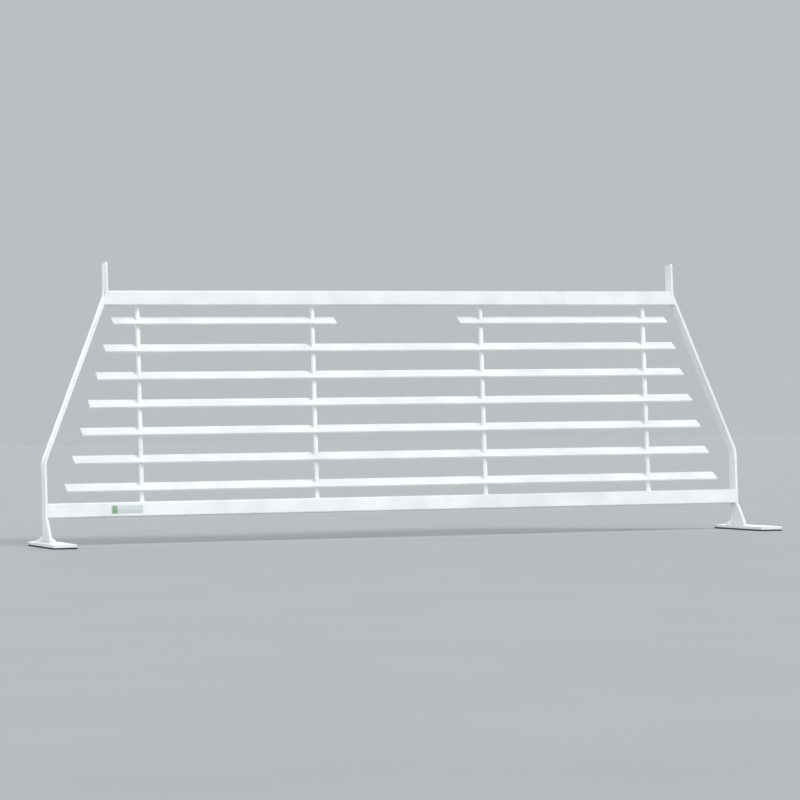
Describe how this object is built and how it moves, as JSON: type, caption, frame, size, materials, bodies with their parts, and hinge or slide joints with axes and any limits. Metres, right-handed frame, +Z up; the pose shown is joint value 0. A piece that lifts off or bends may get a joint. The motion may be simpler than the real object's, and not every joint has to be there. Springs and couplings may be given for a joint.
{
  "type": "headache rack",
  "caption": "Louvered headache rack for a pickup: bent side uprights with ears, square tube crossbars, sloped blades on rods, and foot plates that bolt to the bed rails.",
  "frame": {"origin": "midway between the two feet and halfway along them, on the top of the bed rails that they stand on", "axes": "+X towards the passenger side, across the truck; +Y forwards, towards the cab; +Z up"},
  "size_m": [1.6764, 0.254, 0.6139],
  "materials": {
    "white_powder_coat": "semi-gloss white powder coat",
    "black_rubber": "matte sheet rubber",
    "label_film": "satin blank label film"
  },
  "bodies": {
    "root": {"left_upright": "white_powder_coat", "right_upright": "white_powder_coat", "lower_crossbar": "white_powder_coat", "upper_crossbar": "white_powder_coat", "vertical_rod_1": "white_powder_coat", "vertical_rod_2": "white_powder_coat", "vertical_rod_3": "white_powder_coat", "vertical_rod_4": "white_powder_coat", "louver_1_left": "white_powder_coat", "louver_1_right": "white_powder_coat", "louver_2": "white_powder_coat", "louver_3": "white_powder_coat", "louver_4": "white_powder_coat", "louver_5": "white_powder_coat", "louver_6": "white_powder_coat", "louver_7": "white_powder_coat", "left_foot_plate": "white_powder_coat", "right_foot_plate": "white_powder_coat", "left_rear_gusset": "white_powder_coat", "left_outer_gusset": "white_powder_coat", "left_inner_gusset": "white_powder_coat", "right_rear_gusset": "white_powder_coat", "right_outer_gusset": "white_powder_coat", "right_inner_gusset": "white_powder_coat", "left_foot_pad": "black_rubber", "right_foot_pad": "black_rubber", "blank_label": "label_film"}
  },
  "joints": []
}
